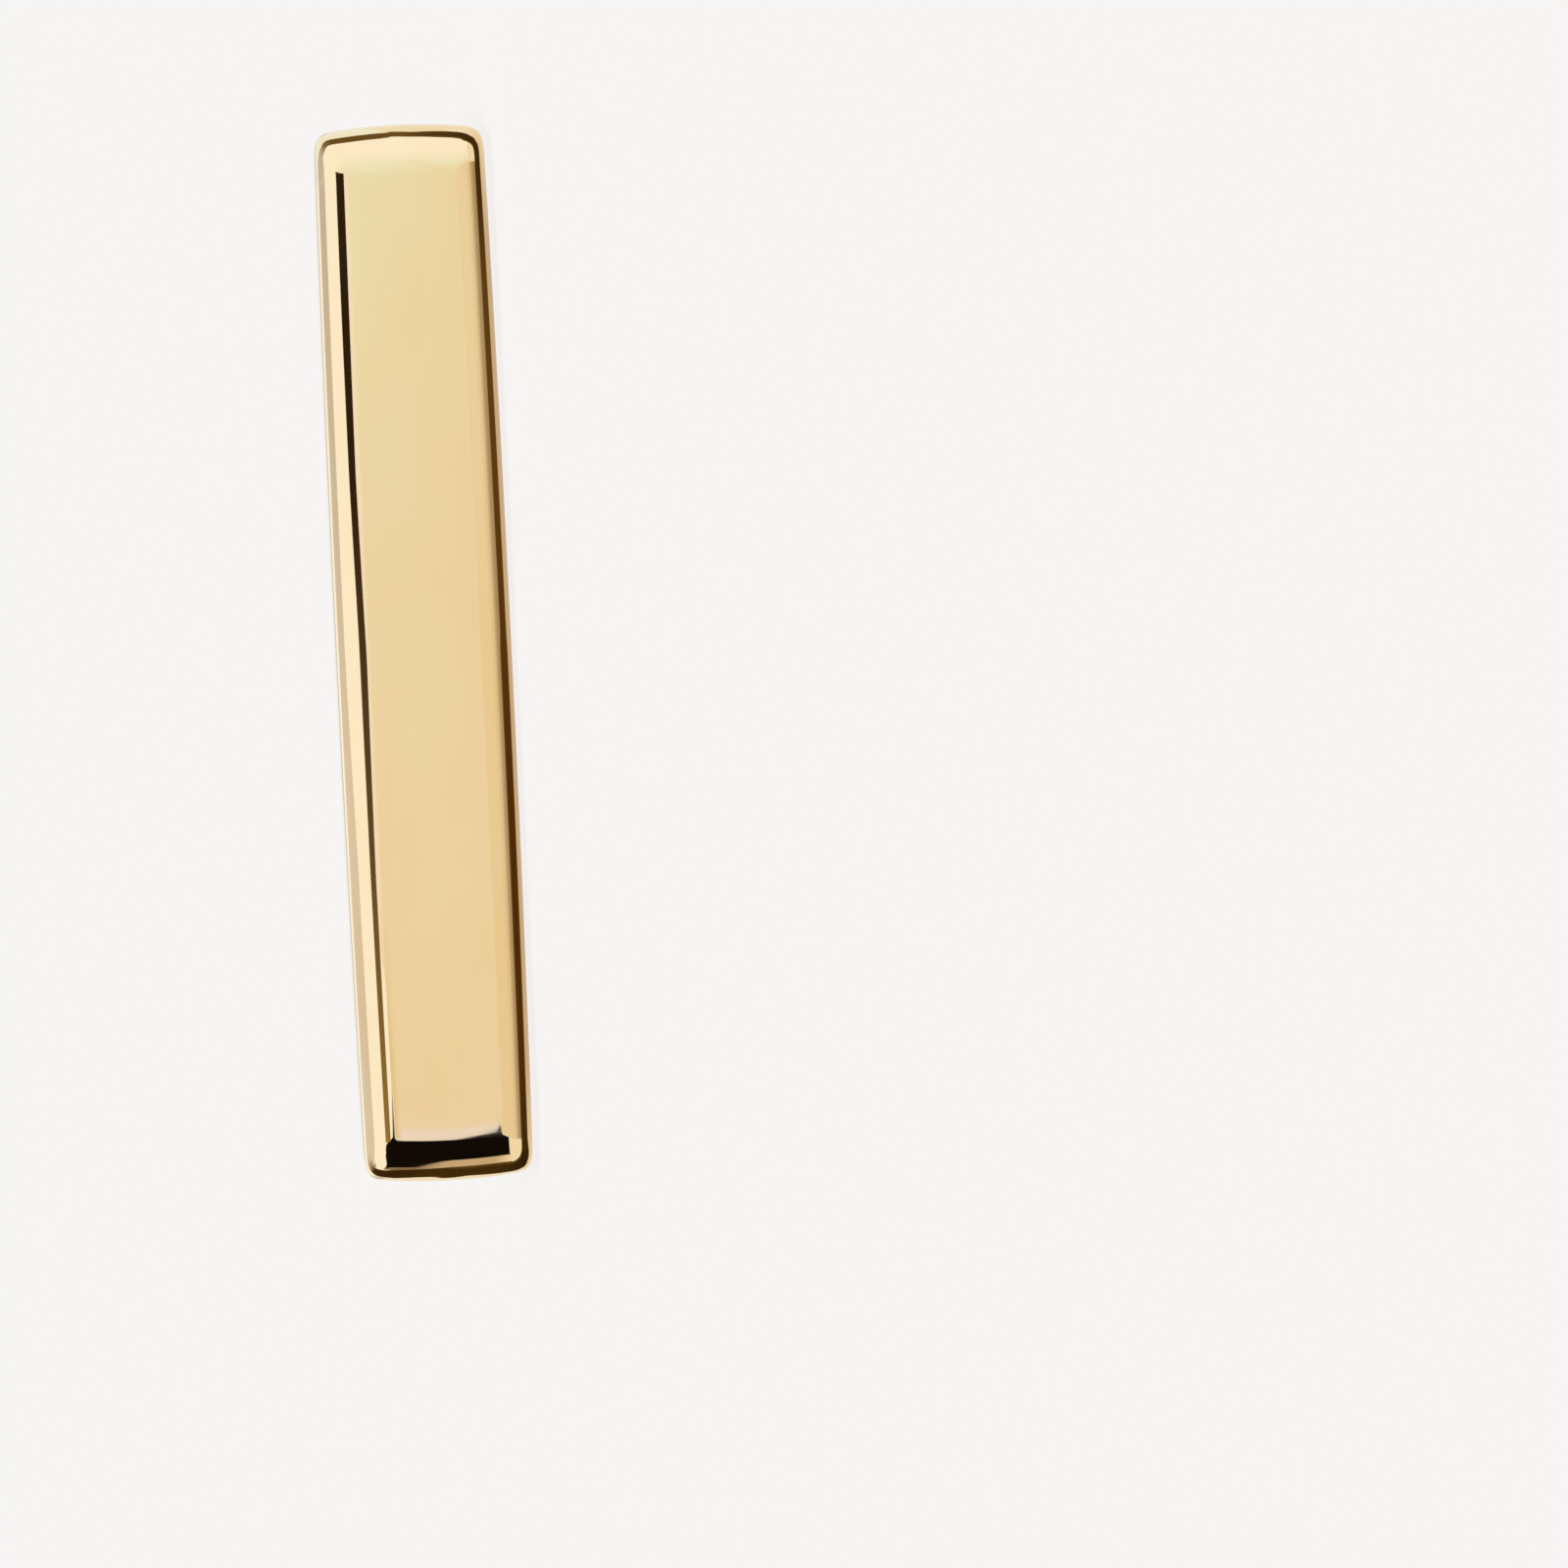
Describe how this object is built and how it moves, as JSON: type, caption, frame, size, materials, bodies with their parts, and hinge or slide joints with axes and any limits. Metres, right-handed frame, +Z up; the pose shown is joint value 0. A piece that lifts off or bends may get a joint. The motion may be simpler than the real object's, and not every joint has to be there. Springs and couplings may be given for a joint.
{
  "type": "bar stud earring",
  "caption": "Slim polished gold bar stud earring with softly rounded edges and a straight ear post soldered to its back, lying on one long side as it rests by itself.",
  "frame": {"origin": "middle of the whole earring's footprint, on the surface that it rests on", "axes": "+X along the bar towards its top end; -Y the way that the polished face looks, tipped 3.4 degrees up; +Y towards the tip of the ear post; +Z up from the surface"},
  "size_m": [0.0122, 0.0116, 0.002],
  "materials": {
    "polished_gold": "mirror-polished yellow gold"
  },
  "bodies": {
    "root": {"bar_and_post": "polished_gold"}
  },
  "joints": []
}
